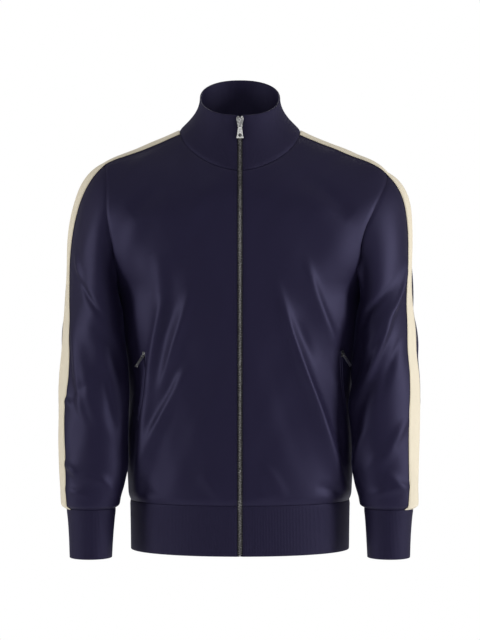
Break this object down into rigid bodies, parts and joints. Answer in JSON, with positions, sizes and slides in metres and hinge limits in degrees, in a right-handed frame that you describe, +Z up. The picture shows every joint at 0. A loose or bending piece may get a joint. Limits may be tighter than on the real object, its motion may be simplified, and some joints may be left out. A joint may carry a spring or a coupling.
{
  "type": "track sweatshirt",
  "caption": "Zip-front track jacket with a stand collar, rib hem and cuffs, slanted zip pockets and a cream stripe down each sleeve, filled out as if worn.",
  "frame": {"origin": "level with the tops of the shoulder seams, on the middle plane, midway between the neck's front and back, where the wearer's shoulders hold it up", "axes": "+X the wearer's left, -Y the front, +Z up"},
  "size_m": [0.5747, 0.2428, 0.7635],
  "materials": {
    "navy": "soft double-knit jersey, dark navy with a faint violet sheen",
    "navy_rib": "close rib knit, dark navy",
    "cream": "flat woven cream tape, matte",
    "navy_tape": "woven zip tape, dark navy",
    "chain_metal": "worn grey metal teeth",
    "silver": "polished silver metal"
  },
  "bodies": {
    "jacket": {"back": "navy", "collar": "navy_rib", "cuff_left": "navy_rib", "cuff_right": "navy_rib", "front_left": "navy", "front_right": "navy", "hem_band": "navy_rib", "pocket_lips_left": "navy", "pocket_lips_right": "navy", "pocket_slider_left": "silver", "pocket_slider_right": "silver", "sleeve_left": "navy", "sleeve_right": "navy", "stripe_left": "cream", "stripe_right": "cream", "zip_chain": "chain_metal", "zip_slider": "silver", "zip_tape_left": "navy_tape", "zip_tape_right": "navy_tape"},
    "main_pull": {"zip_pull": "silver"},
    "left_pocket_pull": {"pocket_pull_left": "silver"},
    "right_pocket_pull": {"pocket_pull_right": "silver"}
  },
  "joints": [
    {"name": "main_pull_swing", "type": "hinge", "parent": "jacket", "child": "main_pull", "pos_m": [0, -0.08074, 0.00195], "axis": [-1, 0, 0], "range_deg": [0, 150]},
    {"name": "left_pocket_pull_swing", "type": "hinge", "parent": "jacket", "child": "left_pocket_pull", "pos_m": [0.16237, -0.06879, -0.3572], "axis": [-0.6593, -0.7157, -0.2305], "range_deg": [-38, 100]},
    {"name": "right_pocket_pull_swing", "type": "hinge", "parent": "jacket", "child": "right_pocket_pull", "pos_m": [-0.15136, -0.08138, -0.35895], "axis": [-0.6918, 0.7044, 0.1588], "range_deg": [-38, 100]}
  ]
}
